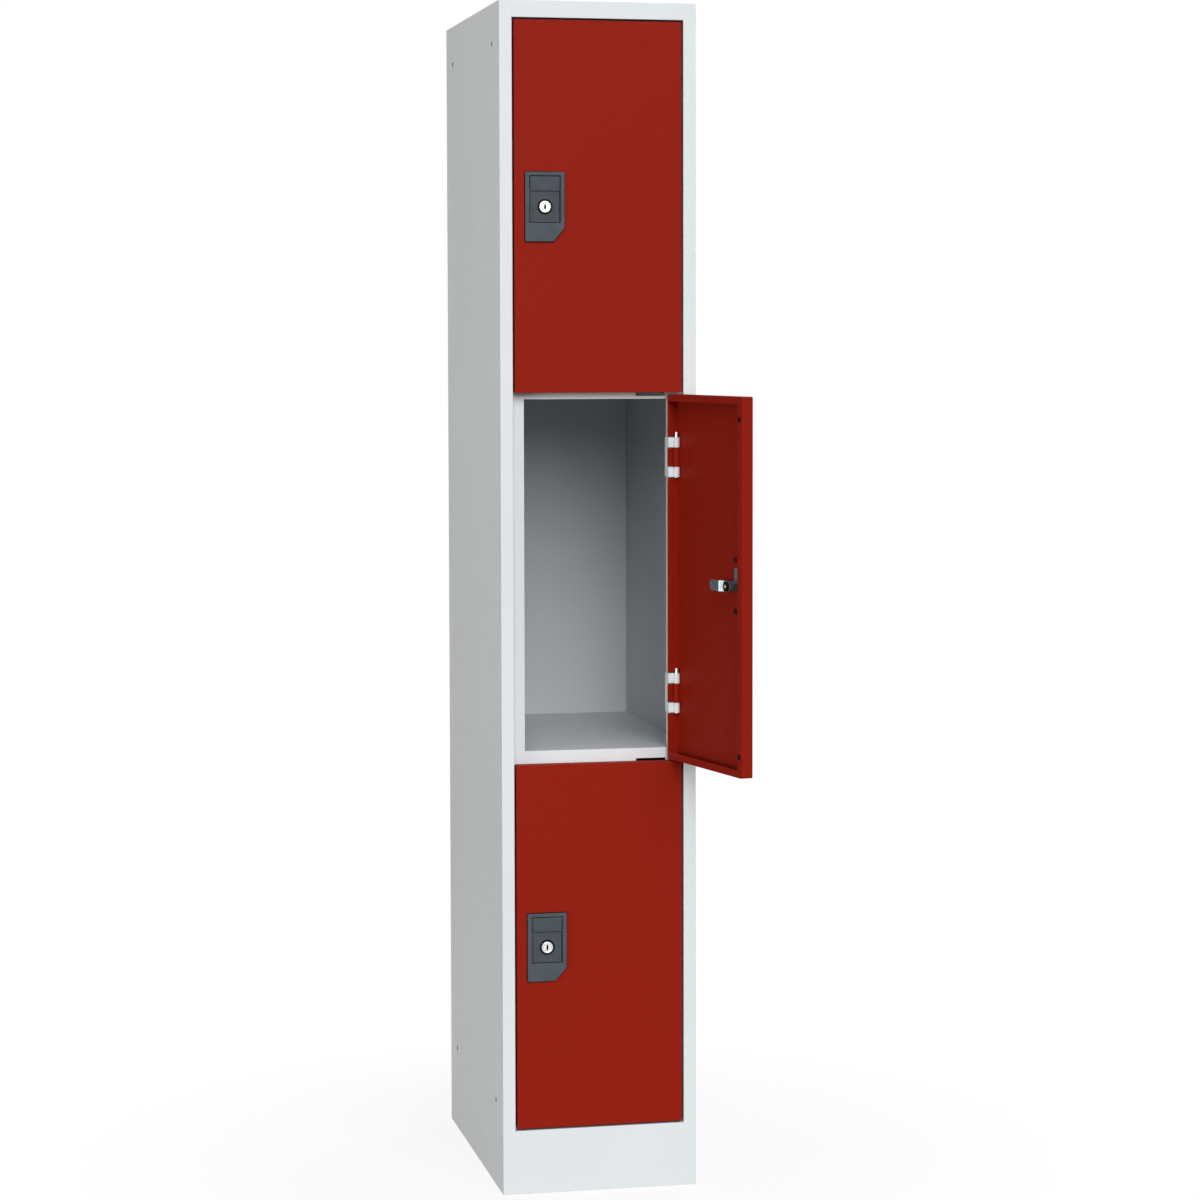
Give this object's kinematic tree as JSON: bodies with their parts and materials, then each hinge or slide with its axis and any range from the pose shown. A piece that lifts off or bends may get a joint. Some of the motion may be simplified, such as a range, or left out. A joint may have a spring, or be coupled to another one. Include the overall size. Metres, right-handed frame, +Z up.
{
  "type": "compartment locker",
  "caption": "Tall narrow folded-steel compartment locker with stacked hinged doors, key cam locks in moulded recess plates, shelves behind stop flanges and a closed plinth.",
  "frame": {"origin": "middle of the footprint on the floor, midway between the two floor-fixing holes", "axes": "+X to the right as seen by someone facing the doors, +Y from the doors into the locker, +Z up"},
  "size_m": [0.3293, 0.7409, 1.8],
  "materials": {
    "body_paint": "light grey textured powder coat",
    "door_paint": "deep red powder coat",
    "hinge_paint": "light grey powder coat",
    "pin_steel": "bright zinc plate",
    "rubber": "black soft rubber",
    "lock_plastic": "dark grey moulded, fine grain",
    "insert_plastic": "dark grey moulded",
    "lock_chrome": "nickel plate",
    "clip_steel": "zinc plate",
    "cam_zinc": "zinc plate",
    "screw_brass": "yellow zinc plate",
    "black_steel": "black oxide"
  },
  "bodies": {
    "carcass": {"left_side_panel": "body_paint", "right_side_panel": "body_paint", "top_panel": "body_paint", "back_panel": "body_paint", "upper_shelf": "body_paint", "lower_shelf": "body_paint", "base_panel": "body_paint", "plinth_front": "body_paint", "top_hinge_brackets": "hinge_paint", "top_hinge_pins": "pin_steel", "middle_hinge_brackets": "hinge_paint", "middle_hinge_pins": "pin_steel", "bottom_hinge_brackets": "hinge_paint", "bottom_hinge_pins": "pin_steel"},
    "top_door": {"top_door": "door_paint", "top_hinge_leaves": "door_paint", "top_buffers": "rubber", "top_lock_plate": "lock_plastic", "top_plate_screws": "black_steel", "top_lock_insert": "insert_plastic", "top_lock_barrel": "lock_chrome", "top_lock_clip": "clip_steel"},
    "top_lock": {"top_lock_plug": "lock_chrome", "top_lock_cam": "cam_zinc", "top_cam_screw": "screw_brass"},
    "middle_door": {"middle_door": "door_paint", "middle_hinge_leaves": "door_paint", "middle_buffers": "rubber", "middle_lock_plate": "lock_plastic", "middle_plate_screws": "black_steel", "middle_lock_insert": "insert_plastic", "middle_lock_barrel": "lock_chrome", "middle_lock_clip": "clip_steel"},
    "middle_lock": {"middle_lock_plug": "lock_chrome", "middle_lock_cam": "cam_zinc", "middle_cam_screw": "screw_brass"},
    "bottom_door": {"bottom_door": "door_paint", "bottom_hinge_leaves": "door_paint", "bottom_buffers": "rubber", "bottom_lock_plate": "lock_plastic", "bottom_plate_screws": "black_steel", "bottom_lock_insert": "insert_plastic", "bottom_lock_barrel": "lock_chrome", "bottom_lock_clip": "clip_steel"},
    "bottom_lock": {"bottom_lock_plug": "lock_chrome", "bottom_lock_cam": "cam_zinc", "bottom_cam_screw": "screw_brass"}
  },
  "joints": [
    {"name": "top_door_hinge", "type": "hinge", "parent": "carcass", "child": "top_door", "pos_m": [0.1215, -0.24432, 1.49433], "axis": [0, 0, 1], "range_deg": [0, 110]},
    {"name": "middle_door_hinge", "type": "hinge", "parent": "carcass", "child": "middle_door", "pos_m": [0.1215, -0.24432, 0.936], "axis": [0, 0, 1], "range_deg": [-102, 8]},
    {"name": "bottom_door_hinge", "type": "hinge", "parent": "carcass", "child": "bottom_door", "pos_m": [0.1215, -0.24432, 0.37767], "axis": [0, 0, 1], "range_deg": [0, 110]},
    {"name": "top_lock_turn", "type": "hinge", "parent": "top_door", "child": "top_lock", "pos_m": [-0.082, -0.2325, 1.49433], "axis": [0, -1, 0], "range_deg": [0, 180]},
    {"name": "middle_lock_turn", "type": "hinge", "parent": "middle_door", "child": "middle_lock", "pos_m": [0.15225, -0.44583, 0.936], "axis": [0.9781, 0.2079, 0], "range_deg": [0, 180]},
    {"name": "bottom_lock_turn", "type": "hinge", "parent": "bottom_door", "child": "bottom_lock", "pos_m": [-0.082, -0.2325, 0.37767], "axis": [0, -1, 0], "range_deg": [0, 180]}
  ]
}
